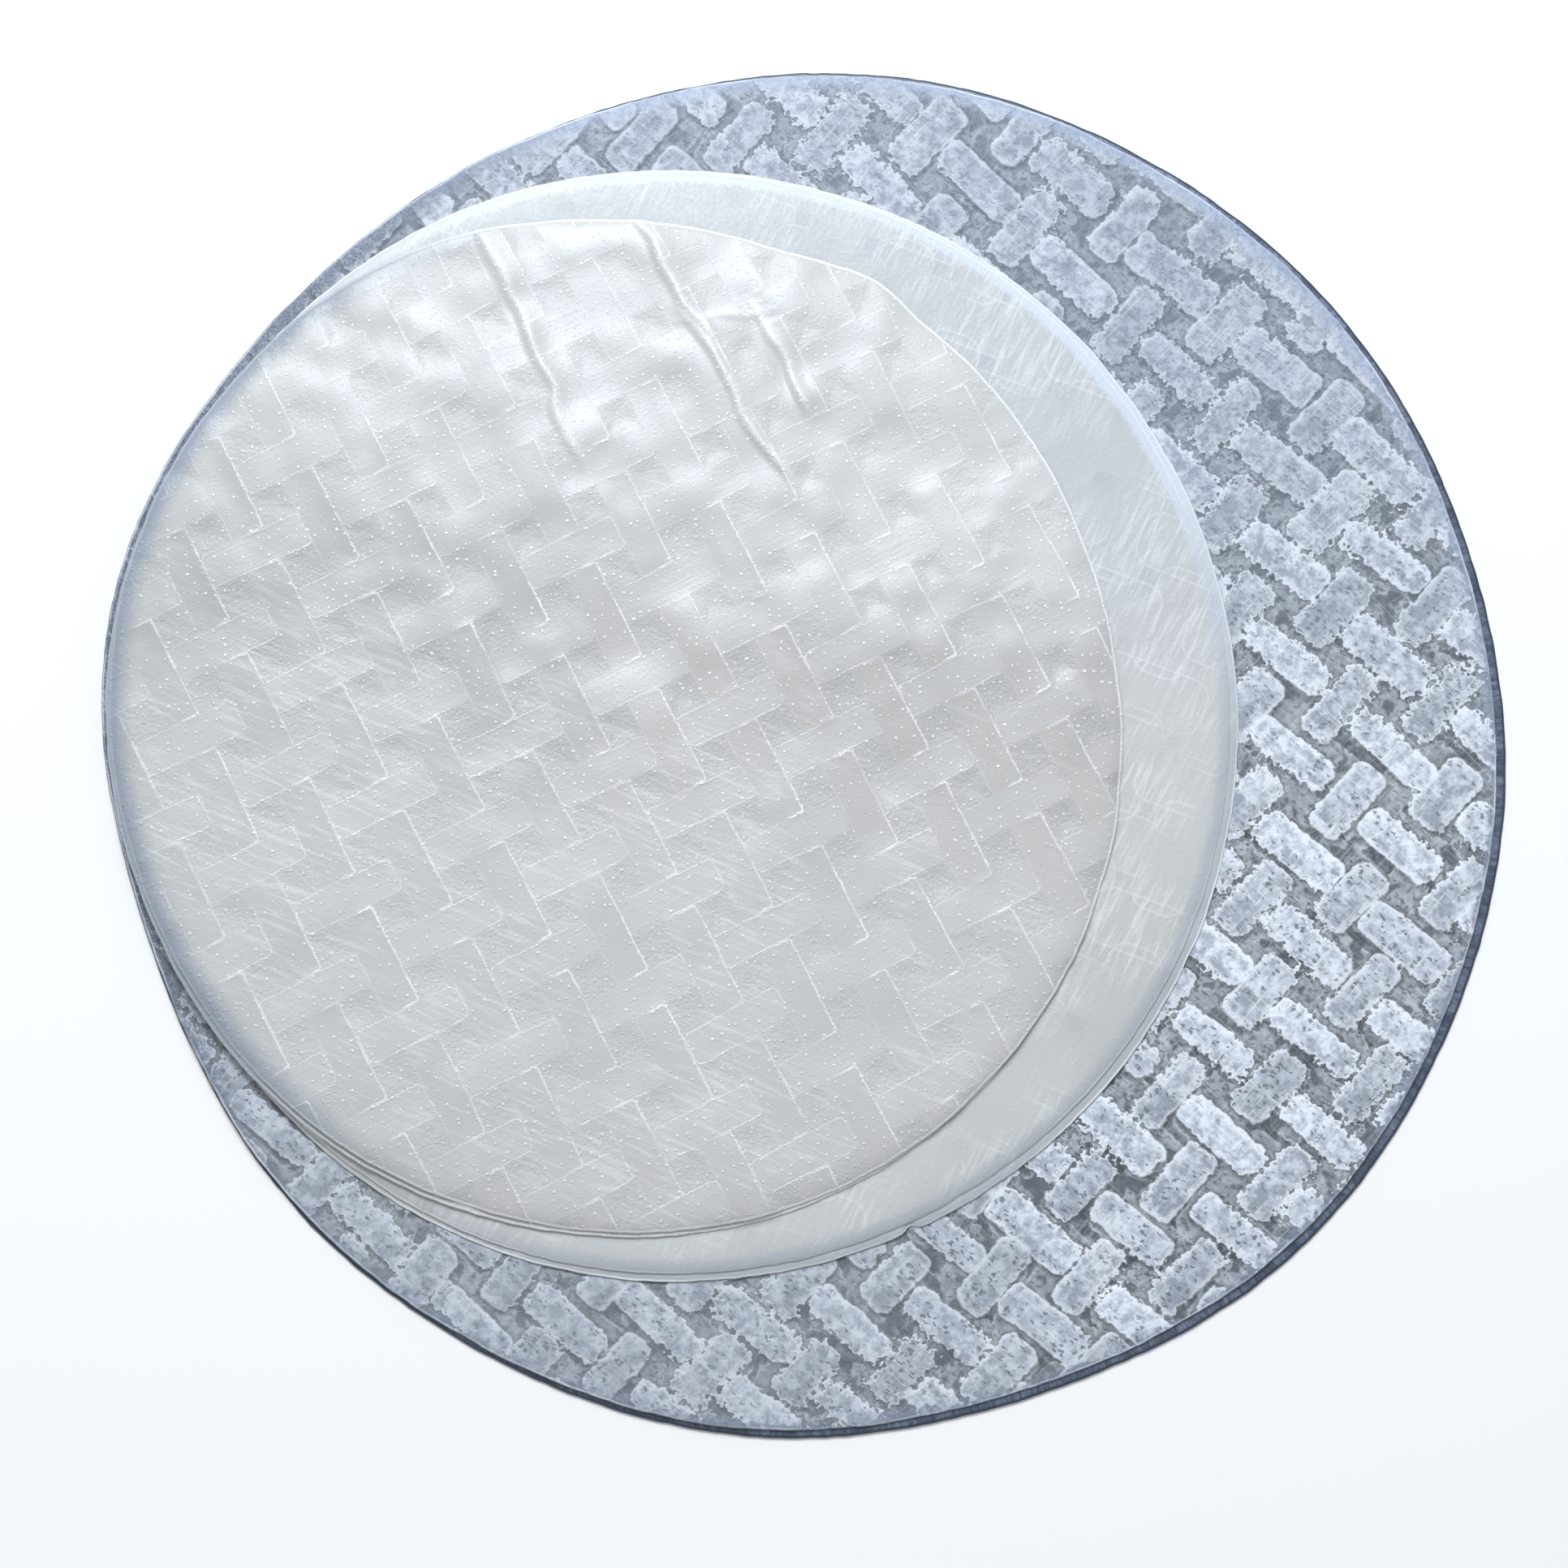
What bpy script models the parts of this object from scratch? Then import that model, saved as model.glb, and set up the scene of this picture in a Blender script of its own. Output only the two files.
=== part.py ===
"""A loose stack of round rice paper wrappers in three sizes, two sheets of each.

Built in millimetres and scaled to metres at the end of each mesh.
+X is to the right, +Y is away from the viewer, +Z is up. The stack lies on z = 0.
"""
import math

import bpy

MM = 0.001

# Sheet make-up
THICK = 0.5          # one sheet with its mat relief
GAP = 0.3            # air left between two sheets
PITCH = THICK + GAP
SECTORS = 72
RINGS_PLAIN = 4
RINGS_CREASED = 12

# Nominal radii of the outlines
R_LARGE = 110.28
R_MEDIUM = 88.9
R_SMALL = 80.3

# How far each sheet's middle lies from the middle of the largest one
SHIFT_MEDIUM = (-21.4, 3.9)
SHIFT_SMALL = (-31.3, 3.4)

# Slight unroundness of each size: (waves around the rim, height, direction of a crest in degrees)
WAVES_LARGE = (
    (2, 0.96, 3), (3, 0.59, 156), (4, 0.71, -77), (5, 0.48, 116),
    (6, 0.15, -82), (7, 0.21, 75), (8, 0.33, -68),
)
WAVES_MEDIUM = (
    (2, 0.24, -118), (3, 0.24, 128), (4, 0.19, -24), (5, 0.22, -180), (6, 0.12, -23),
)
WAVES_SMALL = (
    (2, 1.31, -123), (3, 0.20, 85), (4, 0.23, 157), (5, 0.14, -159), (6, 0.19, -74),
)

# Local bumps and nicks of a rim: (direction in degrees, height, half-width in degrees)
BUMPS_SMALL = ((59.0, 2.0, 6.0),)
NICK_MEDIUM = ((291.5, -0.8, 0.7),)

# The lower sheet of each pair pokes out a little: (radius change, x shift, y shift) of the upper one
UPPER_LARGE = (-0.9, -0.8, 0.3)
UPPER_MEDIUM = (-0.8, -0.6, 0.4)
LOWER_SMALL = (0.0, -0.5, -0.7)

# Gentle waviness that the sheets share, growing up the stack
SWELL = 1.1
SWELL_LENGTHS = (96.0, 71.0, 128.0)
SWELL_HEADINGS = (35.0, 118.0, 80.0)
SWELL_PHASES = (0.4, 2.1, 4.0)

# Creases of the top sheet: start x, start y, length, heading in degrees, height, half-width
CREASES = (
    (-27.0, 84.0, 22.0, -60.0, 1.3, 2.6),
    (-16.0, 66.5, 10.0, 5.0, 0.8, 2.2),
    (-6.5, 67.0, 15.0, -68.0, 1.0, 2.6),
    (-18.0, 66.0, 27.0, -61.0, 0.9, 2.2),
    (-44.0, 65.0, 20.0, -68.0, 0.9, 2.4),
    (-52.0, 82.0, 20.0, -66.0, 0.8, 2.6),
)


def clear_scene():
    for obj in list(bpy.data.objects):
        bpy.data.objects.remove(obj, do_unlink=True)


def angle_from(angle, centre):
    """Signed difference of two directions in degrees, wrapped to half a turn."""
    return (angle - centre + 180.0) % 360.0 - 180.0


def rim_radius(angle, radius, waves, bumps):
    turn = math.radians(angle)
    value = radius
    for count, height, crest in waves:
        value += height * math.cos(count * turn - math.radians(crest))
    for centre, height, half in bumps:
        value += height * math.exp(-(angle_from(angle, centre) / half) ** 2)
    return value


def rim_angles(bumps):
    """Even directions, with three more where a narrow nick needs them."""
    step = 360.0 / SECTORS
    angles = [step * index for index in range(SECTORS)]
    for centre, _, half in bumps:
        if half < step / 2:
            angles = [a for a in angles if abs(angle_from(a, centre)) > 2.0 * half]
            angles += [centre - 1.6 * half, centre, centre + 1.6 * half]
    return sorted(angles)


def swell(x, y):
    """Height of the shared waviness, from 0 to SWELL."""
    total = 0.0
    for length, heading, phase in zip(SWELL_LENGTHS, SWELL_HEADINGS, SWELL_PHASES):
        turn = math.radians(heading)
        run = x * math.cos(turn) + y * math.sin(turn)
        total += 0.5 + 0.5 * math.sin(2.0 * math.pi * run / length + phase)
    return SWELL * total / len(SWELL_LENGTHS)


def crease_height(x, y):
    """Height of the nearest of the top sheet's creases."""
    best = 0.0
    for start_x, start_y, length, heading, height, half in CREASES:
        turn = math.radians(heading)
        dx = x - start_x
        dy = y - start_y
        along = dx * math.cos(turn) + dy * math.sin(turn)
        across = -dx * math.sin(turn) + dy * math.cos(turn)
        beyond = max(0.0, -along, along - length)
        best = max(best, height * math.exp(-(across ** 2 + beyond ** 2) / half ** 2))
    return best


def rim_centre(radius, waves, bumps):
    """Middle of the box around an outline."""
    xs = []
    ys = []
    for angle in rim_angles(bumps):
        reach = rim_radius(angle, radius, waves, bumps)
        xs.append(reach * math.cos(math.radians(angle)))
        ys.append(reach * math.sin(math.radians(angle)))
    return (max(xs) + min(xs)) / 2.0, (max(ys) + min(ys)) / 2.0


def sheet_mesh(name, radius, shift, waves, bumps, level, lift, rings, creased):
    """One closed sheet: a top face, a rim and an underside that follow the same height."""
    angles = rim_angles(bumps)
    count = len(angles)
    verts = []

    def height(x, y):
        value = level * PITCH + lift * swell(x, y)
        if creased:
            value += crease_height(x, y)
        return value

    for face in (THICK, 0.0):
        verts.append((shift[0], shift[1], height(*shift) + face))
        for ring in range(1, rings + 1):
            part = ring / rings
            for angle in angles:
                reach = part * rim_radius(angle, radius, waves, bumps)
                x = shift[0] + reach * math.cos(math.radians(angle))
                y = shift[1] + reach * math.sin(math.radians(angle))
                verts.append((x, y, height(x, y) + face))

    base = 1 + rings * count
    faces = []
    for index in range(count):
        after = (index + 1) % count
        faces.append((0, 1 + index, 1 + after))
        faces.append((base, base + 1 + after, base + 1 + index))
        for ring in range(rings - 1):
            near = 1 + ring * count
            far = near + count
            faces.append((near + index, far + index, far + after))
            faces.append((near + index, far + after, near + after))
            faces.append((base + near + index, base + far + after, base + far + index))
            faces.append((base + near + index, base + near + after, base + far + after))
        top = 1 + (rings - 1) * count
        low = base + top
        faces.append((top + index, low + index, low + after))
        faces.append((top + index, low + after, top + after))

    mesh = bpy.data.meshes.new(name)
    mesh.from_pydata([(x * MM, y * MM, z * MM) for x, y, z in verts], [], faces)
    mesh.validate()
    mesh.update()
    return mesh


def material(name, colour, roughness):
    mat = bpy.data.materials.new(name)
    mat.use_nodes = True
    shader = mat.node_tree.nodes["Principled BSDF"]
    shader.inputs["Base Color"].default_value = (*colour, 1.0)
    shader.inputs["Roughness"].default_value = roughness
    shader.inputs["Metallic"].default_value = 0.0
    return mat


def add_sheet(name, mesh, mat):
    obj = bpy.data.objects.new(name, mesh)
    bpy.context.scene.collection.objects.link(obj)
    mesh.materials.append(mat)
    for poly in mesh.polygons:
        poly.use_smooth = True
    mesh.set_sharp_from_angle(angle=math.radians(40.0))
    return obj


def main():
    clear_scene()
    mid = rim_centre(R_LARGE, WAVES_LARGE, ())

    def placed(shift, extra=(0.0, 0.0)):
        return shift[0] + extra[0] - mid[0], shift[1] + extra[1] - mid[1]

    # name, radius, shift, waves, bumps, level, lift, rings, creased, colour, roughness
    sheets = (
        ("wrapper_22_lower", R_LARGE, placed((0.0, 0.0)), WAVES_LARGE, (),
         0, 0.0, RINGS_PLAIN, False, (0.40, 0.44, 0.50), 0.42),
        ("wrapper_22_upper", R_LARGE + UPPER_LARGE[0], placed((0.0, 0.0), UPPER_LARGE[1:]),
         WAVES_LARGE, (), 1, 0.5, RINGS_PLAIN, False, (0.47, 0.51, 0.57), 0.40),
        ("wrapper_18_lower", R_MEDIUM, placed(SHIFT_MEDIUM), WAVES_MEDIUM, NICK_MEDIUM,
         2, 0.65, RINGS_PLAIN, False, (0.55, 0.58, 0.58), 0.36),
        ("wrapper_18_upper", R_MEDIUM + UPPER_MEDIUM[0], placed(SHIFT_MEDIUM, UPPER_MEDIUM[1:]),
         WAVES_MEDIUM, (), 3, 0.75, RINGS_PLAIN, False, (0.62, 0.64, 0.63), 0.36),
        ("wrapper_16_lower", R_SMALL + LOWER_SMALL[0], placed(SHIFT_SMALL, LOWER_SMALL[1:]),
         WAVES_SMALL, BUMPS_SMALL, 4, 0.85, RINGS_PLAIN, False, (0.64, 0.66, 0.65), 0.34),
        ("wrapper_16_upper", R_SMALL, placed(SHIFT_SMALL), WAVES_SMALL, BUMPS_SMALL,
         5, 1.0, RINGS_CREASED, True, (0.66, 0.68, 0.67), 0.32),
    )
    for row in sheets:
        name, radius, shift, waves, bumps, level, lift, rings, creased, colour, rough = row
        mesh = sheet_mesh(name, radius, shift, waves, bumps, level, lift, rings, creased)
        add_sheet(name, mesh, material(name, colour, rough))


main()
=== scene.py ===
"""Looks of a loose stack of round rice paper wrappers in three sizes.

The sheets are modelled in millimetres and stored in metres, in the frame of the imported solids.
"""
import math

import bpy
import numpy as np
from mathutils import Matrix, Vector


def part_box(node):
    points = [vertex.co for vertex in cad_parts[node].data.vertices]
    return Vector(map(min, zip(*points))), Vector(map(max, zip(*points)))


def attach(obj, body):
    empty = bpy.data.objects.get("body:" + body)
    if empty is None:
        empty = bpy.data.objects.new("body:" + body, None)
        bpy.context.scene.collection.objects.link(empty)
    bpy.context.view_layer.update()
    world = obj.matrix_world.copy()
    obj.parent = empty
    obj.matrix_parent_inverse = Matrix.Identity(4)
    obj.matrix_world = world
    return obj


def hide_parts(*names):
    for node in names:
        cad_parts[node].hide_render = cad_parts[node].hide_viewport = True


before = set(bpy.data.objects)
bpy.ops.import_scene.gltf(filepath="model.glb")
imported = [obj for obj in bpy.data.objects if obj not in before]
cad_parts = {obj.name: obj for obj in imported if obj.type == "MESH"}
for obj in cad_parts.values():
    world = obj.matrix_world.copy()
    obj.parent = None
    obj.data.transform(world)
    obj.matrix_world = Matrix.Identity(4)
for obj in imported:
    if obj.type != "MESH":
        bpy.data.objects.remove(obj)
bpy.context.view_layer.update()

bl_info = {
    "name": "Rice Paper Stack",
    "version": (1, 0, 0),
    "blender": (4, 5, 0),
    "location": "3D View > Sidebar > Rice Paper",
    "description": "Builds a loose stack of dried rice paper sheets and its plain stage",
    "category": "Add Mesh",
}

MM = 0.001
HALF_TURN = 180.0
FULL = 360.0
WALK_STEP = 0.25

# Make-up of the stack, as the solids have it
THICK = 0.5
PITCH = 0.8

# Slight unroundness of each size: (waves around the rim, height in mm, direction of a crest)
WAVES_LARGE = (
    (2, 0.96, 3), (3, 0.59, 156), (4, 0.71, -77), (5, 0.48, 116),
    (6, 0.15, -82), (7, 0.21, 75), (8, 0.33, -68),
)
WAVES_MEDIUM = (
    (2, 0.24, -118), (3, 0.24, 128), (4, 0.19, -24), (5, 0.22, -180), (6, 0.12, -23),
)
WAVES_SMALL = (
    (2, 1.31, -123), (3, 0.20, 85), (4, 0.23, 157), (5, 0.14, -159), (6, 0.19, -74),
)
BUMPS_SMALL = ((59.0, 2.0, 6.0),)
NICK_MEDIUM = ((291.5, -0.8, 0.7),)

# node: radius, waves, local bumps, level in the stack, share of the common swell
SHEETS = {
    "wrapper_22_lower": (110.28, WAVES_LARGE, (), 0, 0.0),
    "wrapper_22_upper": (109.38, WAVES_LARGE, (), 1, 0.5),
    "wrapper_18_lower": (88.9, WAVES_MEDIUM, NICK_MEDIUM, 2, 0.65),
    "wrapper_18_upper": (88.1, WAVES_MEDIUM, (), 3, 0.75),
    "wrapper_16_lower": (80.3, WAVES_SMALL, BUMPS_SMALL, 4, 0.85),
    "wrapper_16_upper": (80.3, WAVES_SMALL, BUMPS_SMALL, 5, 1.0),
}

# How far the rim sinks at each level, and how the sheets thin out towards it, in mm
RIM_DROPS = (0.0, 0.32, 0.42, 0.78, 0.44, 0.80)
RIM_TAPER = 0.22
DROP_REACH = 2.4
TAPER_REACH = 0.8

# Gentle waviness that the sheets share
SWELL = 1.1
SWELL_WAVES = ((96.0, 35.0, 0.4), (71.0, 118.0, 2.1), (128.0, 80.0, 4.0))

# Creases of the top sheet: start, length, heading, height, half-width below and above the line
CREASES = (
    (-27.0, 84.0, 22.0, -60.0, 1.3, 2.6),
    (-16.0, 66.5, 10.0, 5.0, 0.8, 2.2),
    (-6.5, 67.0, 15.0, -68.0, 1.0, 2.6),
    (-18.0, 66.0, 27.0, -61.0, 0.9, 2.2),
    (-44.0, 65.0, 20.0, -68.0, 0.9, 2.4),
    (-52.0, 82.0, 20.0, -66.0, 0.8, 2.6),
)
CREASE_MELT = 3.0
CREASE_FADE = 3.0
RIDGE_SHARE = 0.78
STEEP_SHARE = 0.42
GENTLE_SHARE = 1.2
CREST_OFFSET = 0.35
CREST_HALF = 0.55
# Depth that the dents and the print of the top sheet stay within, in mm
RELIEF_LIMIT = 0.6

# Noise over the sheets: its height, the size of its features in mm or cells, and its seed
NOISES = {
    "fold_sway": (1.2, 8.0, 71),
    "fold_shake": (0.5, 4.0, 72),
    "fold_height": (0.45, 6.0, 73),
    "mat_bend_x": (0.35, 23.0, 5),
    "mat_bend_y": (0.35, 23.0, 6),
    "mat_shake_x": (0.10, 3.1, 7),
    "mat_shake_y": (0.10, 3.1, 8),
    "torn": (0.45, 2.4, 305),
    "torn_fine": (0.3, 1.3, 306),
    "torn_share": (0.55, 9.0, 307),
    "large_grain": (1.0, 1.3, 21),
    "medium_grain": (0.02, 3.0, 23),
    "medium_broad": (0.12, 15.0, 24),
    "lit_border": (12.0, 40.0, 41),
    "float_edge": (0.6, 9.0, 47),
    "dimple": (0.24, 8.0, 48),
    "pebbles": (1.0, 0.9, 43),
    "cell_dent": (0.34, 1.0, 44),
    "wide_cell_dent": (0.30, 2.0, 49),
    "dent": (0.45, 14.0, 45),
    "broad": (0.25, 33.0, 46),
}
# Frayed cut edge: height, size, and the seed of the lowest sheet
FRAYS = ((0.07, 1.7, 11), (0.10, 5.3, 31))


# ---------------------------------------------------------------- fields over the sheets

def smooth_step(low, high, value):
    part = np.clip((value - low) / (high - low), 0.0, 1.0)
    return part * part * (3.0 - 2.0 * part)


def value_noise(x, y, size, seed):
    """Smooth noise from -1 to 1 with features of the given size."""
    count = 97
    table = np.random.default_rng(seed).random((count, count)) * 2.0 - 1.0
    u, v = x / size + 400.0, y / size + 400.0
    i, j = np.floor(u).astype(int), np.floor(v).astype(int)
    fu, fv = u - i, v - j
    fu, fv = fu * fu * (3.0 - 2.0 * fu), fv * fv * (3.0 - 2.0 * fv)
    i, j = i % count, j % count
    k, m = (i + 1) % count, (j + 1) % count
    low = table[i, j] * (1.0 - fu) + table[k, j] * fu
    high = table[i, m] * (1.0 - fu) + table[k, m] * fu
    return low * (1.0 - fv) + high * fv


def noise_at(x, y, name):
    height, size, seed = NOISES[name]
    return height * value_noise(x, y, size, seed)


def plain_reach(name, turn):
    """Radius of a sheet in each direction, in mm, before its edge frays. turn is in radians."""
    radius, waves, bumps, _, _ = SHEETS[name]
    reach = np.full_like(turn, radius)
    for count, height, crest in waves:
        reach += height * np.cos(count * turn - math.radians(crest))
    for centre, height, half in bumps:
        away = (np.degrees(turn) - centre + HALF_TURN) % FULL - HALF_TURN
        reach += height * np.exp(-(away / half) ** 2)
    return reach


def rim_reach(name, turn):
    """Radius of a sheet in each direction, in mm, with its slightly frayed cut edge."""
    reach = plain_reach(name, turn)
    radius, _, _, level, _ = SHEETS[name]
    for height, size, seed in FRAYS:
        x, y = radius * np.cos(turn), radius * np.sin(turn)
        reach += height * value_noise(x, y, size, seed + level)
    return reach


def sheet_centre(name):
    """Middle that the radii are counted from, found from the node's box."""
    turn = np.radians(np.arange(0.0, FULL, WALK_STEP))
    reach = plain_reach(name, turn)
    x, y = reach * np.cos(turn), reach * np.sin(turn)
    low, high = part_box(name)
    return (
        (low[0] + high[0]) / 2.0 / MM - (x.max() + x.min()) / 2.0,
        (low[1] + high[1]) / 2.0 / MM - (y.max() + y.min()) / 2.0,
    )


def polar(name, x, y):
    cx, cy = sheet_centre(name)
    return np.arctan2(y - cy, x - cx), np.hypot(x - cx, y - cy)


def rim_distance(name, x, y):
    """How far inside its rim a point of the sheet lies, in mm."""
    turn, away = polar(name, x, y)
    return rim_reach(name, turn) - away


def swell(x, y):
    total = 0.0
    for length, heading, phase in SWELL_WAVES:
        run, _ = turned(x, y, heading)
        total = total + 0.5 + 0.5 * np.sin(2.0 * math.pi * run / length + phase)
    return SWELL * total / len(SWELL_WAVES)


def underside(name, x, y):
    _, _, _, level, lift = SHEETS[name]
    return level * PITCH + lift * swell(x, y)


def turned(x, y, heading):
    """How far a point lies along and across a heading in degrees."""
    turn = math.radians(heading)
    along = x * math.cos(turn) + y * math.sin(turn)
    return along, -x * math.sin(turn) + y * math.cos(turn)


def crease_place(x, y, start_x, start_y, length, heading):
    """How far a point lies across a crease's wandering line, and how near it is to the crease."""
    along, across = turned(x - start_x, y - start_y, heading)
    across = across + noise_at(x, y, "fold_sway") + noise_at(x, y, "fold_shake")
    beyond = np.maximum(0.0, np.maximum(-along, along - length))
    return across, np.exp(-(beyond / CREASE_FADE) ** 2)


def ridge(x, y, start_x, start_y, length, heading, height, half):
    """A raised fold: a short steep face below its crest line, a long gentle one above."""
    across, there = crease_place(x, y, start_x, start_y, length, heading)
    steep = smooth_step(-STEEP_SHARE * half, 0.1, across)
    gentle = np.exp(-np.maximum(across, 0.0) / (GENTLE_SHARE * half))
    uneven = 0.8 + noise_at(x, y, "fold_height")
    return RIDGE_SHARE * height * uneven * steep * gentle * there


def rounded_box(du, dv, half_u, half_v, corner):
    """Distance to the border of a rounded rectangle, positive inside."""
    qu = np.abs(du) - half_u + corner
    qv = np.abs(dv) - half_v + corner
    outside = np.hypot(np.maximum(qu, 0.0), np.maximum(qv, 0.0))
    inside = np.minimum(np.maximum(qu, qv), 0.0)
    return corner - outside - inside


# Fine basket mat under the small sheets: a corner of its repeat, and its two slat steps
FINE_MAT_CORNER = (-35.59, 57.32)
FINE_STEP_ACROSS = (4.998, 2.325)
FINE_STEP_DOWN = (2.381, -5.047)
FINE_REPEAT = 4.0
FINE_GAP = 0.12


def wrapped(value, repeat):
    """The value counted from the nearest repeat."""
    return (value + repeat / 2.0) % repeat - repeat / 2.0


def fine_mat(x, y):
    """The basket print in millimetres and in cells.

    Distances to the level and the steep floats, positive inside, the place in cells, and how
    far to the right a point lies in its steep float, from 0 to 1.
    """
    ax, ay = FINE_STEP_ACROSS
    bx, by = FINE_STEP_DOWN
    det = ax * by - ay * bx
    dx = x - FINE_MAT_CORNER[0] + noise_at(x, y, "mat_bend_x") + noise_at(x, y, "mat_shake_x")
    dy = y - FINE_MAT_CORNER[1] + noise_at(x, y, "mat_bend_y") + noise_at(x, y, "mat_shake_y")
    i = (dx * by - dy * bx) / det
    j = (dy * ax - dx * ay) / det
    across, down = math.hypot(ax, ay), math.hypot(bx, by)

    def float_at(mid_i, mid_j, long_i, long_j, corner):
        du = wrapped(i - mid_i, FINE_REPEAT) * across
        dv = wrapped(j - mid_j, FINE_REPEAT) * down
        half_u, half_v = long_i * across - FINE_GAP, long_j * down - FINE_GAP
        return rounded_box(du, dv, half_u, half_v, corner), du

    level = np.maximum(
        float_at(1.5, 0.5, 1.5, 0.5, 0.35)[0], float_at(3.5, 2.5, 1.5, 0.5, 1.0)[0]
    )
    first, first_du = float_at(1.5, 2.5, 0.5, 1.5, 0.25)
    second, second_du = float_at(3.5, 4.5, 0.5, 1.5, 0.25)
    steep = np.maximum(first, second)
    right = smooth_step(-0.6, 0.6, np.where(first > second, first_du, second_du))
    return level, steep, i, j, right


# Coarse mat under the large sheets: its plain weave, counted in repeats from the frame's middle
COARSE_COUNT_X = (0.092, 6.618, 0.117, -0.197, -0.287, -0.153)
COARSE_COUNT_Y = (0.322, 0.171, 6.553, -0.163, -0.103, -0.282)
COARSE_REPEAT = 15.3
COARSE_CORNER = 1.7
# Half-length, half-width, heading and seed of its lozenges, on the sheet and on the one below
DOWN_FLOATS = (7.5, 2.95, -43.0, 301)
UP_FLOATS = (6.6, 3.05, 45.0, 302)
LOW_DOWN_FLOATS = (7.8, 3.25, -42.0, 303)
LOW_UP_FLOATS = (6.8, 3.25, 46.0, 304)
TABLE_SIDE = 41
# How the print of the sheet below is stretched and shifted, in repeats
LOW_STRETCH = (1.02, 0.965)
LOW_SHIFT = (-0.46, 0.06)
# Depths of the film between the floats, of their borders, and of the grain, in mm
FILM_DEPTH = 0.17
BORDER_DEPTH = 0.06
GRAIN_DEPTH = 0.03
# Faint wide print of the medium sheets: heading, repeat and corner
WIDE_HEADING = -22.0
WIDE_REPEAT = 24.0
WIDE_CORNER = 3.0


def coarse_count(x, y):
    u, v = x / 100.0, y / 100.0
    terms = (1.0, u, v, u * v, u * u, v * v)
    return (
        sum(c * t for c, t in zip(COARSE_COUNT_X, terms)),
        sum(c * t for c, t in zip(COARSE_COUNT_Y, terms)),
    )


def lozenges(m, n, half_long, half_wide, heading, seed):
    """Distance to the nearest of a lattice of uneven lozenges, and that lozenge's own tone."""
    rng = np.random.default_rng(seed)
    table = rng.random((6, TABLE_SIDE, TABLE_SIDE)) * 2.0 - 1.0
    best = np.full_like(m, -99.0)
    tone = np.zeros_like(m)
    for step_m in (-1, 0, 1):
        for step_n in (-1, 0, 1):
            mid_m, mid_n = np.round(m) + step_m, np.round(n) + step_n
            key_m = (mid_m.astype(int) + TABLE_SIDE // 2) % TABLE_SIDE
            key_n = (mid_n.astype(int) + TABLE_SIDE // 2) % TABLE_SIDE
            push = table[:, key_m, key_n]
            du = (m - mid_m) * COARSE_REPEAT + 0.35 * push[0]
            dv = (n - mid_n) * COARSE_REPEAT + 0.35 * push[1]
            turn = math.radians(heading) + 0.06 * push[2]
            along = du * np.cos(turn) + dv * np.sin(turn)
            across = -du * np.sin(turn) + dv * np.cos(turn)
            half_u, half_v = half_long + 0.6 * push[3], half_wide + 0.35 * push[4]
            inside = rounded_box(along, across, half_u, half_v, COARSE_CORNER)
            nearer = inside > best
            best = np.where(nearer, inside, best)
            tone = np.where(nearer, push[5], tone)
    return best, tone


def coarse_mat(x, y):
    """The print of the coarse mat: both float directions, the sheet below, and the tones."""
    m, n = coarse_count(x, y)
    torn = noise_at(x, y, "torn") + noise_at(x, y, "torn_fine")
    torn *= 0.45 + noise_at(x, y, "torn_share")
    down, tone_down = lozenges(m, n, *DOWN_FLOATS)
    up, tone_up = lozenges(m - 0.5, n - 0.5, *UP_FLOATS)
    tone = np.where(down > up, tone_down, tone_up)
    shift_m, shift_n = m * LOW_STRETCH[0] + LOW_SHIFT[0], n * LOW_STRETCH[1] + LOW_SHIFT[1]
    low_down, tone_a = lozenges(shift_m, shift_n, *LOW_DOWN_FLOATS)
    low_up, tone_b = lozenges(shift_m - 0.5, shift_n - 0.5, *LOW_UP_FLOATS)
    low_tone = np.where(low_down > low_up, tone_a, tone_b)
    below = np.maximum(low_down, low_up) + 0.8 * torn
    return down + torn, up + 0.8 * torn, below, tone, low_tone


def wide_mat(x, y):
    """Faint print of the wide slats on the medium sheets."""
    u, v = turned(x, y, WIDE_HEADING)
    half = WIDE_REPEAT / 2.0

    def float_at(mid_u, mid_v, half_u, half_v):
        du, dv = wrapped(u - mid_u, WIDE_REPEAT), wrapped(v - mid_v, WIDE_REPEAT)
        return rounded_box(du, dv, half_u, half_v, WIDE_CORNER)

    along = np.maximum(float_at(0.0, 0.0, 9.5, 4.6), float_at(half, half, 9.5, 4.6))
    across = np.maximum(float_at(half, 0.0, 4.4, 9.0), float_at(0.0, half, 4.4, 9.0))
    return along, across


def flat_print(x, y):
    return np.zeros_like(x)


def large_relief(x, y):
    """The floats stand at full height and the film between them lies lower."""
    down, up, _, _, _ = coarse_mat(x, y)
    body = np.maximum(down, up)
    relief = -FILM_DEPTH * (1.0 - smooth_step(-0.5, 0.3, body))
    relief -= BORDER_DEPTH * (1.0 - smooth_step(0.0, 2.4, body))
    relief -= GRAIN_DEPTH * (1.0 + noise_at(x, y, "large_grain"))
    return relief * smooth_step(0.2, 2.5, rim_distance("wrapper_22_upper", x, y))


def medium_relief(x, y):
    along, across = wide_mat(x, y)
    lines = np.exp(-(along / 0.6) ** 2) + np.exp(-(across / 0.6) ** 2)
    relief = -0.06 + 0.02 * np.minimum(lines, 1.0) - noise_at(x, y, "medium_grain")
    return relief + noise_at(x, y, "medium_broad")


def lit_part(x, y):
    """Share of the livelier, far half of the small sheets."""
    return smooth_step(-30.0, 50.0, y + 0.2 * x + noise_at(x, y, "lit_border"))


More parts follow.
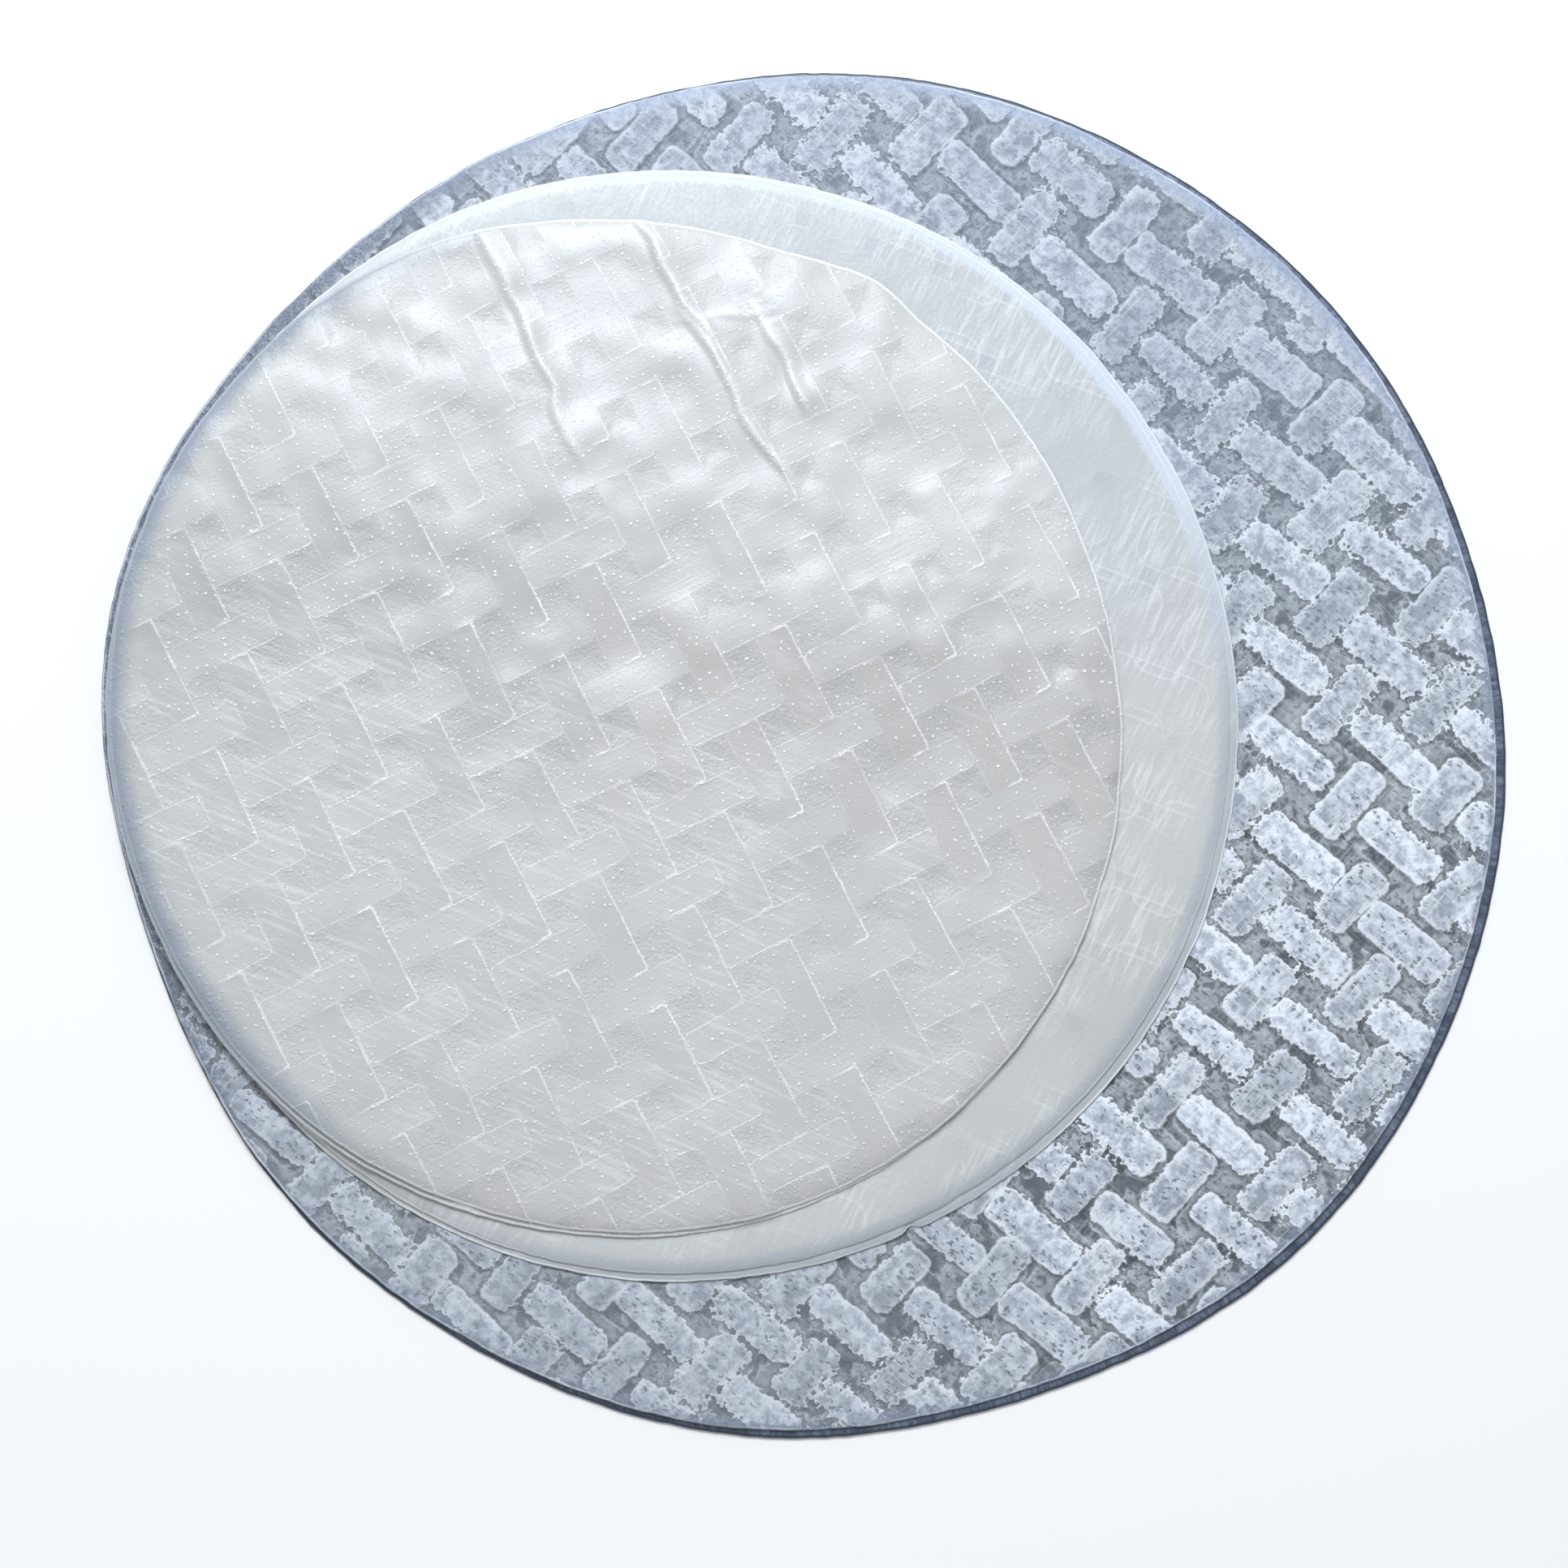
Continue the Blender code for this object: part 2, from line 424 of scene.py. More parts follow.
def small_relief(x, y):
    """Basket print, dents and creases of the top sheet."""
    level, steep, i, j, right = fine_mat(x, y)
    floats = np.maximum(level, steep)
    far = lit_part(x, y)
    relief = 0.05 * smooth_step(-0.5, 1.6, floats) * (0.5 + 0.5 * far)
    uneven = 0.6 + noise_at(x, y, "float_edge")
    relief += 0.09 * uneven * np.exp(-((steep - 0.1) / 0.55) ** 2) * right
    relief += 0.02 * np.exp(-(level / 0.5) ** 2)
    dimple = 0.26 + noise_at(x, y, "dimple")
    relief -= dimple * smooth_step(-0.1, -2.4, floats) * (0.4 + 0.6 * far)
    relief += smooth_step(0.1, -0.5, floats) * 0.03 * noise_at(x, y, "pebbles")
    dents = noise_at(i - 0.5, j - 0.5, "cell_dent") + noise_at(i, j, "wide_cell_dent")
    relief += (dents + noise_at(x, y, "dent")) * (0.36 + 0.64 * far)
    relief += broad_relief(x, y)
    return RELIEF_LIMIT * np.tanh(relief / RELIEF_LIMIT) + creases(x, y)


def broad_relief(x, y):
    """The broad part of the top sheet's relief, which its underside follows."""
    return noise_at(x, y, "broad")


def creases(x, y):
    """The raised folds, melted into one another where they meet."""
    total = np.zeros_like(x)
    for start_x, start_y, length, heading, height, half in CREASES:
        one = ridge(x, y, start_x, start_y, length, heading, height, half)
        total = total + one ** CREASE_MELT
    return total ** (1.0 / CREASE_MELT)


def crest_highlight_mask(x, y):
    """1 along the crest lines of the creases, where a highlight is painted."""
    total = np.zeros_like(x)
    for start_x, start_y, length, heading, _, _ in CREASES:
        across, there = crease_place(x, y, start_x, start_y, length, heading)
        line = np.exp(-((across - CREST_OFFSET) / CREST_HALF) ** 2)
        total = np.maximum(total, there * line)
    return total


# ---------------------------------------------------------------- mesh helpers

def only(piece):
    bpy.ops.object.select_all(action="DESELECT")
    piece.select_set(True)
    bpy.context.view_layer.objects.active = piece


def points_of(piece):
    flat = np.empty(len(piece.data.vertices) * 3)
    piece.data.vertices.foreach_get("co", flat)
    return flat.reshape(-1, 3)


def place_points(piece, points):
    piece.data.vertices.foreach_set("co", np.ascontiguousarray(points).ravel())
    piece.data.update()


def close_up(piece):
    """Merges what coincides and turns every face outwards."""
    only(piece)
    bpy.ops.object.mode_set(mode="EDIT")
    bpy.ops.mesh.select_all(action="SELECT")
    bpy.ops.mesh.remove_doubles(threshold=1e-6)
    bpy.ops.mesh.normals_make_consistent(inside=False)
    bpy.ops.mesh.select_all(action="DESELECT")
    bpy.ops.object.mode_set(mode="OBJECT")
    bpy.ops.object.shade_smooth()


def store(piece, **fields):
    """Stores one value per point under each name, for the shaders."""
    for name, values in fields.items():
        layer = piece.data.attributes.new(name, "FLOAT", "POINT")
        layer.data.foreach_set("value", np.asarray(values, dtype=np.float32))


def rim_drop(name, inside):
    """A sheet's edge sinks onto the sheet below it; a twin above sinks along with it."""
    depth = RIM_DROPS[SHEETS[name][3]]
    return depth * np.exp(-np.maximum(inside, 0.0) / DROP_REACH)


def thinning(inside):
    """The top surface falls a little towards the rim, where the sheet is thinner."""
    return RIM_TAPER * np.exp(-np.maximum(inside, 0.0) / TAPER_REACH)


def cover_reach(name, cover, turn):
    """How far from the middle of one sheet the rim of the sheet on it lies."""
    cx, cy = sheet_centre(name)
    ox, oy = sheet_centre(cover)
    walk = np.radians(np.arange(0.0, FULL, WALK_STEP))
    reach = rim_reach(cover, walk)
    x = ox + reach * np.cos(walk) - cx
    y = oy + reach * np.sin(walk) - cy
    around = np.arctan2(y, x)
    order = np.argsort(around)
    return np.interp(turn, around[order], np.hypot(x, y)[order], period=2.0 * math.pi)


# How far inside the rim the top ends and the flat underside starts, and how far a sheet stays
# fine beneath the one on it
TOP_INSET = 0.25
FLAT_INSET = 2.5
COVER_LAP = 2.0
# Rounded edge of a sheet: (distance inside the rim, height above the underside)
EDGE_STATIONS = (
    (0.10, 0.27), (0.02, 0.21), (0.0, 0.13), (0.03, 0.05), (0.14, 0.0), (FLAT_INSET, 0.0),
)
UNDERSIDE_SHARES = (0.86, 0.74, 0.62, 0.50, 0.38, 0.26, 0.14)
# How much lower the hidden underside of the creased sheet lies, in mm
UNDERSIDE_SINK = 0.4


def new_grid(name, across, down, size):
    bpy.ops.object.select_all(action="DESELECT")
    bpy.ops.mesh.primitive_grid_add(x_subdivisions=across, y_subdivisions=down, size=size)
    piece = bpy.context.active_object
    piece.name = name
    return piece


def ring_sheet(piece_name, node, cover, sectors, rings, relief):
    """A sheet that is finely divided only where it shows, from under its cover to its rim."""
    below = [(FLAT_INSET, 0.0, share) for share in UNDERSIDE_SHARES[::-1]]
    edge = below + [(inset, lift, 1.0) for inset, lift in EDGE_STATIONS[::-1]]
    first = len(edge) + 1
    last = first + rings + len(UNDERSIDE_SHARES)
    piece = new_grid(piece_name, sectors, last, 1.0)
    grid = points_of(piece)
    column = np.round((grid[:, 0] + 0.5) * sectors).astype(int)
    row = np.round((grid[:, 1] + 0.5) * last).astype(int)
    turn = (column % sectors) * 2.0 * math.pi / sectors - math.pi
    reach = rim_reach(node, turn)
    inner = np.minimum(cover_reach(node, cover, turn) - COVER_LAP, reach - FLAT_INSET)

    # rows: pole and underside, edge from the inside out, then the top from the rim to its pole
    away = np.zeros_like(turn)
    height = np.zeros_like(turn)
    for index, (inset, lift, share) in enumerate(edge, start=1):
        here = row == index
        away[here] = (reach[here] - inset) * share
        height[here] = lift
    fine = (row >= first) & (row < first + rings)
    part = (row[fine] - first) / (rings - 1)
    away[fine] = (reach[fine] - TOP_INSET) * (1.0 - part) + inner[fine] * part
    for extra, share in enumerate(UNDERSIDE_SHARES):
        here = row == first + rings + extra
        away[here] = inner[here] * share
    top = row >= first
    cx, cy = sheet_centre(node)
    x, y = cx + away * np.cos(turn), cy + away * np.sin(turn)
    z = underside(node, x, y) + np.where(top, THICK, height) - rim_drop(node, reach - away)
    z = z + np.where(top, relief(x, y) - thinning(reach - away), 0.0)
    place_points(piece, np.stack([x, y, z], axis=1) * MM)
    close_up(piece)
    return piece


def full_sheet(piece_name, node, cells, relief, under_relief):
    """A sheet that shows all over: an even grid drawn into the round, its rim turned under."""
    piece = new_grid(piece_name, cells, cells, 2.0)
    grid = points_of(piece)
    u, v = grid[:, 0], grid[:, 1]
    wide = np.abs(u) > np.abs(v)
    ratio = np.where(wide, v / np.where(u == 0.0, 1.0, u), u / np.where(v == 0.0, 1.0, v))
    spoke = np.where(wide, u, v)
    swing = np.where(wide, math.pi / 4.0 * ratio, math.pi / 2.0 - math.pi / 4.0 * ratio)
    px, py = spoke * np.cos(swing), spoke * np.sin(swing)
    turn, part = np.arctan2(py, px), np.abs(spoke)
    reach = rim_reach(node, turn)
    away = part * (reach - TOP_INSET)
    cx, cy = sheet_centre(node)
    x, y = cx + away * np.cos(turn), cy + away * np.sin(turn)
    z = underside(node, x, y) + THICK - rim_drop(node, reach - away)
    z = z - thinning(reach - away) + relief(x, y)
    place_points(piece, np.stack([x, y, z], axis=1) * MM)

    border = part > 1.0 - 0.25 / cells
    piece.data.polygons.foreach_set("select", np.zeros(len(piece.data.polygons), dtype=bool))
    ends = np.empty(len(piece.data.edges) * 2, dtype=int)
    piece.data.edges.foreach_get("vertices", ends)
    piece.data.edges.foreach_set("select", border[ends.reshape(-1, 2)].all(axis=1))
    piece.data.vertices.foreach_set("select", border)
    only(piece)
    bpy.context.tool_settings.mesh_select_mode = (False, True, False)
    stations = [(inset, lift, 1.0) for inset, lift in EDGE_STATIONS]
    stations += [(FLAT_INSET, 0.0, share) for share in UNDERSIDE_SHARES]
    for inset, lift, share in stations:
        bpy.ops.object.mode_set(mode="EDIT")
        bpy.ops.mesh.extrude_edges_move()
        bpy.ops.object.mode_set(mode="OBJECT")
        points = points_of(piece)
        fresh = np.empty(len(points), dtype=bool)
        piece.data.vertices.foreach_get("select", fresh)
        turn, _ = polar(node, points[fresh, 0] / MM, points[fresh, 1] / MM)
        reach = rim_reach(node, turn)
        away = (reach - inset) * share
        x, y = cx + away * np.cos(turn), cy + away * np.sin(turn)
        near = math.exp(-inset / TAPER_REACH) if share == 1.0 else 0.0
        bend = near * relief(x, y) + (1.0 - near) * (under_relief(x, y) - UNDERSIDE_SINK)
        z = underside(node, x, y) + lift - rim_drop(node, reach - away) + bend
        points[fresh] = np.stack([x, y, z], axis=1) * MM
        place_points(piece, points)
    bpy.ops.object.mode_set(mode="EDIT")
    bpy.ops.mesh.extrude_edges_move()
    bpy.ops.mesh.merge(type="CENTER")
    bpy.ops.object.mode_set(mode="OBJECT")
    close_up(piece)
    return piece


# Sides of the rims: direction in degrees, cosines where they start and are full, and strength. The
# sky side faces the light; the shaders paint a bluish sky reflection there
MEDIUM_SIDES = {"thin_side": (310.0, 0.1, 0.8, 1.0), "sky_side": (65.0, 0.3, 0.85, 0.8)}
SMALL_SIDES = {"thin_side": (172.0, 0.2, 0.75, 1.0)}
SIDES = {
    "wrapper_22_lower": {"sky_side": (85.0, 0.3, 0.95, 1.0)},
    "wrapper_22_upper": {
        "sky_side": (80.0, -0.1, 1.0, 1.0),
        "dim_side": (240.0, 0.5, 1.0, 1.0),
        "bare_side": (163.0, 0.5, 0.9, 1.0),
    },
    "wrapper_18_lower": MEDIUM_SIDES,
    "wrapper_18_upper": MEDIUM_SIDES,
    "wrapper_16_lower": SMALL_SIDES,
    "wrapper_16_upper": SMALL_SIDES,
}
# Points whose normals rise at least this much belong to the upper face
UPSIDE_LIMIT = -0.2


def keep(piece, node, material):
    piece.data.materials.clear()
    piece.data.materials.append(material)
    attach(piece, "root")
    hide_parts(node)


def store_common(piece, node):
    """Stores how far inside the rim each point lies, if it looks up, and the sides of its rim, the
    side facing the light among them.
    """
    points = points_of(piece) / MM
    x, y = points[:, 0], points[:, 1]
    normals = np.empty(len(points) * 3)
    piece.data.vertices.foreach_get("normal", normals)
    store(piece, rim_mm=rim_distance(node, x, y), upside=normals[2::3] > UPSIDE_LIMIT)
    turn, _ = polar(node, x, y)
    for name, (centre, low, high, strength) in SIDES[node].items():
        side = smooth_step(low, high, np.cos(turn - math.radians(centre)))
        store(piece, **{name: strength * side})
    return x, y


# ---------------------------------------------------------------- shader helpers

class Board:
    """Adds nodes to one tree and joins them."""

    def __init__(self, tree):
        self.tree = tree
        self.column = 0

    def add(self, kind, values=None, **settings):
        node = self.tree.nodes.new(kind)
        self.column += 1
        node.location = (self.column * 40.0, -(self.column % 12) * 160.0)
        for key, value in settings.items():
            setattr(node, key, value)
        for key, value in (values or {}).items():
            self.feed(node.inputs[key], value)
        return node

    def feed(self, socket, value):
        if isinstance(value, bpy.types.NodeSocket):
            self.tree.links.new(value, socket)
        else:
            socket.default_value = value

    def math(self, operation, *values):
        node = self.add("ShaderNodeMath", operation=operation)
        for socket, value in zip(node.inputs, values):
            self.feed(socket, value)
        return node.outputs[0]

    def span(self, value, low, high, to_low=0.0, to_high=1.0, smooth=False):
        node = self.add("ShaderNodeMapRange", {
            "Value": value, "From Min": low, "From Max": high,
            "To Min": to_low, "To Max": to_high,
        })
        if smooth:
            node.interpolation_type = "SMOOTHSTEP"
        return node.outputs["Result"]

    def blend(self, share, first, second):
        node = self.add("ShaderNodeMix", data_type="RGBA")
        self.feed(node.inputs[0], share)
        self.feed(node.inputs[6], first)
        self.feed(node.inputs[7], second)
        return node.outputs[2]

    def attribute(self, name):
        node = self.add("ShaderNodeAttribute", attribute_name=name)
        return node.outputs["Fac"]

    def millimetres(self):
        place = self.add("ShaderNodeTexCoord").outputs["Object"]
        node = self.add("ShaderNodeVectorMath", operation="SCALE")
        self.feed(node.inputs[0], place)
        node.inputs["Scale"].default_value = 1.0 / MM
        return node.outputs[0]

    def stretch(self, place, heading, along=1.0, across=1.0):
        """Counts along and across a heading in degrees, stretched by the two factors."""
        node = self.add("ShaderNodeMapping", {
            "Vector": place, "Rotation": (0.0, 0.0, math.radians(heading)),
            "Scale": (along, across, 1.0),
        }, vector_type="TEXTURE")
        return node.outputs[0]

    def noise(self, place, scale, detail=2.0, roughness=0.5):
        node = self.add("ShaderNodeTexNoise", {
            "Vector": place, "Scale": scale, "Detail": detail, "Roughness": roughness,
        }, noise_dimensions="2D")
        return node.outputs["Fac"]

    def shifted(self, place, along_x, along_y):
        """Moves the place a little by two values, so that what is drawn there turns uneven."""
        shift = self.add("ShaderNodeCombineXYZ", {"X": along_x, "Y": along_y})
        node = self.add("ShaderNodeVectorMath", operation="ADD")
        self.feed(node.inputs[0], place)
        self.feed(node.inputs[1], shift.outputs[0])
        return node.outputs[0]

    def times(self, *values):
        total = values[0]
        for value in values[1:]:
            total = self.math("MULTIPLY", total, value)
        return total

    def plus(self, *values):
        total = values[0]
        for value in values[1:]:
            total = self.math("ADD", total, value)
        return total

    def less(self, value, amount):
        return self.math("SUBTRACT", value, amount)

    def most(self, first, second):
        return self.math("MAXIMUM", first, second)

    def near_zero(self, value, width):
        return self.span(self.math("ABSOLUTE", value), width, 0.0)

    def group(self, tree, **values):
        node = self.add("ShaderNodeGroup", node_tree=tree)
        for key, value in values.items():
            self.feed(node.inputs[key.replace("_", " ")], value)
        return node


def new_group(name, inputs, outputs):
    tree = bpy.data.node_groups.new(name, "ShaderNodeTree")
    for label, kind, default in inputs:
        socket = tree.interface.new_socket(name=label, in_out="INPUT", socket_type=kind)
        if default is not None:
            socket.default_value = default
    for label, kind in outputs:
        tree.interface.new_socket(name=label, in_out="OUTPUT", socket_type=kind)
    board = Board(tree)
    return tree, board, board.add("NodeGroupInput"), board.add("NodeGroupOutput")


FLOAT, VECTOR = "NodeSocketFloat", "NodeSocketVector"


def starch_bubbles():
    """Small raised bubbles, some larger than others, that dried into the paste."""
    tree, board, given, made = new_group(
        "Starch Bubbles",
        [("Place", VECTOR, None), ("Cell", FLOAT, 2.0), ("Radius", FLOAT, 0.35),
         ("Share", FLOAT, 0.6)],
        [("Dome", FLOAT)],
    )
    density = board.math("DIVIDE", 1.0, given.outputs["Cell"])
    cells = board.add("ShaderNodeTexVoronoi", {
        "Vector": given.outputs["Place"], "Scale": density, "Randomness": 1.0,
    }, voronoi_dimensions="2D")
    chance = board.add("ShaderNodeSeparateColor", {"Color": cells.outputs["Color"]})
    away = board.math("MULTIPLY", cells.outputs["Distance"], given.outputs["Cell"])
    spread = board.math("MULTIPLY_ADD", chance.outputs[0], 0.8, 0.45)
    radius = board.math("MULTIPLY", given.outputs["Radius"], spread)
    there = board.math("LESS_THAN", chance.outputs[1], given.outputs["Share"])
    near = board.math("DIVIDE", away, radius)
    bowl = board.math("SUBTRACT", 1.0, board.math("MULTIPLY", near, near))
    dome = board.math("MAXIMUM", bowl, 0.0)
    board.feed(made.inputs["Dome"], board.math("MULTIPLY", dome, there))
    return tree


def straight_scratches():
    """Straight fine scratches of uneven length that lean a little either way."""
    tree, board, given, made = new_group(
        "Straight Scratches",
        [("Place", VECTOR, None), ("Length", FLOAT, 20.0), ("Apart", FLOAT, 2.0),
         ("Width", FLOAT, 0.09), ("Share", FLOAT, 0.5)],
        [("Mask", FLOAT)],
    )
    split = board.add("ShaderNodeSeparateXYZ", {"Vector": given.outputs["Place"]})
    along = board.math("DIVIDE", split.outputs[0], given.outputs["Length"])
    across = board.math("DIVIDE", split.outputs[1], given.outputs["Apart"])
    joined = board.add("ShaderNodeCombineXYZ", {"X": along, "Y": across})
    cells = board.add("ShaderNodeTexVoronoi", {
        "Vector": joined.outputs[0], "Scale": 1.0, "Randomness": 1.0,
    }, voronoi_dimensions="2D")
    centre = board.add("ShaderNodeSeparateXYZ", {"Vector": cells.outputs["Position"]})
    chance = board.add("ShaderNodeSeparateColor", {"Color": cells.outputs["Color"]})
    du = board.times(board.math("SUBTRACT", along, centre.outputs[0]), given.outputs["Length"])
    dv = board.times(board.math("SUBTRACT", across, centre.outputs[1]), given.outputs["Apart"])
    lean = board.math("MULTIPLY", board.math("SUBTRACT", chance.outputs[0], 0.5), 0.22)
    off = board.math("ADD", dv, board.math("MULTIPLY", du, lean))
    line = board.near_zero(off, given.outputs["Width"])
    there = board.math("LESS_THAN", chance.outputs[1], given.outputs["Share"])
    strength = board.math("MULTIPLY_ADD", chance.outputs[2], 0.7, 0.3)
    board.feed(made.inputs["Mask"], board.times(line, there, strength))
    return tree


def ragged_print():
    """Turns a distance to a float's border into a ragged patch, its pale outline, and the band
    beside it where painted shadow goes.
    """
    tree, board, given, made = new_group(
        "Ragged Print",
        [("Inside", FLOAT, 0.0), ("Shake", FLOAT, 0.0), ("Outline", FLOAT, 0.40)],
        [("Patch", FLOAT), ("Edge", FLOAT), ("Shadow", FLOAT)],
    )
    torn = board.math("ADD", given.outputs["Inside"], given.outputs["Shake"])
    board.feed(made.inputs["Patch"], board.span(torn, -0.10, 0.16))
    board.feed(
        made.inputs["Edge"],
        board.near_zero(board.math("SUBTRACT", torn, 0.20), given.outputs["Outline"]),
    )
    board.feed(made.inputs["Shadow"], board.span(torn, -1.1, 0.0, smooth=True))
    return tree


COAT_ROUGHNESS = 0.34


class Coats(Board):
    """The shader of one sheet, whose colours are laid over one another as named settings."""

    def __init__(self, name, roughness, coat, context):
        self.material = bpy.data.materials.new(name)
        self.material.use_nodes = True
        super().__init__(self.material.node_tree)
        self.colours = context.scene.paper_colours
        self.shader = self.tree.nodes["Principled BSDF"]
        self.shader.inputs["Roughness"].default_value = roughness
        self.shader.inputs["Coat Weight"].default_value = coat
        self.shader.inputs["Coat Roughness"].default_value = COAT_ROUGHNESS
        self.place = self.millimetres()

    def mix(self, share, first, second):
        """Blends two colours, each a socket or the name of a setting."""
        return self.blend(share, *(
            rgba(getattr(self.colours, tone)) if isinstance(tone, str) else tone
            for tone in (first, second)
        ))

    def lay(self, colour, *coats):
        """Lays coats over a colour: how far each covers, and its own colour."""
        for share, tone in coats:
            colour = self.mix(share, colour, tone)
        return colour

    def effect(self, name, place=None, **values):
        """The shared effect of that name, drawn at a place if it takes one."""
        if place is not None:
            values["Place"] = place
        return self.group(shared_group(name), **values)

    def scratches(self, heading, length, apart, width, share):
        place = self.stretch(self.place, heading)
        return self.effect("Straight Scratches", place, Length=length, Apart=apart,
                           Width=width, Share=share).outputs[0]

    def finish(self, colour, roughness, height):
        """Leaves the lower face plain. height is in millimetres."""
        colour = self.mix(self.attribute("upside"), "milk_shade", colour)
        self.feed(self.shader.inputs["Base Color"], colour)
        self.feed(self.shader.inputs["Roughness"], roughness)
        bump = self.add("ShaderNodeBump", {"Height": height, "Distance": MM, "Strength": 1.0})
        self.feed(self.shader.inputs["Normal"], bump.outputs["Normal"])
        return self.material


def shared_group(name):
    """Builds a shared shader group once and returns it."""
    return bpy.data.node_groups.get(name) or GROUP_MAKERS[name]()


GROUP_MAKERS = {
    "Starch Bubbles": starch_bubbles,
    "Straight Scratches": straight_scratches,
    "Ragged Print": ragged_print,
}


def rgba(colour):
    return (*colour, 1.0)


def small_material(context):
    board = Coats("milky_basket_print", 0.36, 0.3, context)
    span, times, noise, attribute = board.span, board.times, board.noise, board.attribute
    place = board.place
    level, steep = attribute("level_float"), attribute("steep_float")
    right, far = attribute("right_side"), attribute("far_part")
    cloud, wear, thin_side = attribute("cloud"), attribute("wear"), attribute("thin_side")
    floats = board.most(level, steep)
    grain = noise(place, 1.7, 2.0, 0.6)
    uneven = board.shifted(place, times(noise(place, 1.3, 1.0), 0.6), times(grain, 0.25))
    bubbles = board.effect("Starch Bubbles", uneven, Cell=1.45, Radius=0.25, Share=0.75)
    specks = board.effect("Starch Bubbles", place, Cell=0.85, Radius=0.17, Share=0.3)
    scratches = board.scratches(-31.0, 17.0, 2.6, 0.12, 0.5)

    # thin raised lines along the floats' borders, strongest on the right of the steep ones
    tremble = board.math("MULTIPLY_ADD", grain, 0.5, -0.25)
    line_level = times(
        board.near_zero(board.plus(level, tremble), 0.15), span(wear, 0.25, 0.75, 0.15, 0.8)
    )
    line_width = board.math("MULTIPLY_ADD", right, 0.09, 0.14)
    line_steep = times(
        board.near_zero(board.plus(steep, tremble), line_width),
        board.math("MULTIPLY_ADD", right, span(wear, 0.7, 0.2, 0.45, 0.8), 0.2),
    )
    broken = span(noise(place, 0.21, 2.0, 0.6), 0.38, 0.58, 0.3, 1.0)
    lines = times(board.most(line_level, line_steep), broken)

    # pebbly squares between the floats; painted sheen over the far part, which faces the light,
    # and lighter places towards the near side
    pebble = span(floats, 0.05, -0.35)
    pebbles = times(specks.outputs["Dome"], pebble)
    fibres = noise(board.stretch(place, 25.0, 10.0, 0.42), 0.9, 1.0, 0.5)
    sheen_far_pale_near = board.most(span(far, 0.55, 1.0), span(far, 0.3, 0.0, 0.0, 0.55))
    feather = noise(board.stretch(place, -24.0, 9.0, 0.9), 1.0, 2.0, 0.65)
    feathers = times(span(feather, 0.52, 0.70), span(far, 0.7, 0.2), span(wear, 0.3, 0.7))
    spots = board.most(times(bubbles.outputs["Dome"], 0.72), times(pebbles, 0.6))

    rim = attribute("rim_mm")
    ragged_rim = board.plus(rim, times(board.less(grain, 0.5), 1.6))
    thin_rim = span(ragged_rim, 4.6, 0.3, smooth=True)
    # painted highlight along the very edge of the rim
    rim_highlight = board.near_zero(board.less(rim, 0.25), 0.35)
    colour = board.lay(
        board.mix(cloud, "milk_shade", "milk"),
        (times(thin_side, 0.3), "milk_thin"),
        (times(span(level, 0.0, 0.5), 0.35), "milk_pale_and_sheen"),
        (times(pebble, 0.7), "pebble"),
        # painted sheen on the far part that faces the light, lighter towards the near side
        (times(sheen_far_pale_near, 0.85), "milk_pale_and_sheen"),
        (lines, "speck"),
        # painted highlight along the crests of the creases
        (times(attribute("crest"), span(grain, 0.35, 0.65, 0.2, 0.7)), "speck"),
        (times(feathers, 0.22), "speck"),
        (times(board.math("MINIMUM", spots, 0.85), span(far, 0.0, 0.5, 0.6, 1.0)), "speck"),
        (times(scratches, span(far, 0.7, 0.1, 0.0, 0.4), wear), "ridge"),
        (times(thin_rim, thin_side, 0.85), "thin_rim"),
        # painted highlight along the rim, weaker on the thin side
        (times(rim_highlight, span(thin_side, 0.0, 1.0, 1.0, 0.2)), "speck"),
    )
    height = board.plus(
        times(lines, 0.07),
        times(bubbles.outputs["Dome"], 0.08),
        times(pebbles, 0.08),
        times(board.less(grain, 0.5), span(pebble, 0.0, 1.0, 0.03, 0.10)),
        times(fibres, span(level, 0.0, 0.4, 0.006, 0.02)),
    )
    base = span(cloud, 0.0, 1.0, 0.40, 0.34)
    return board.finish(colour, board.math("MULTIPLY_ADD", pebble, 0.10, base), height)


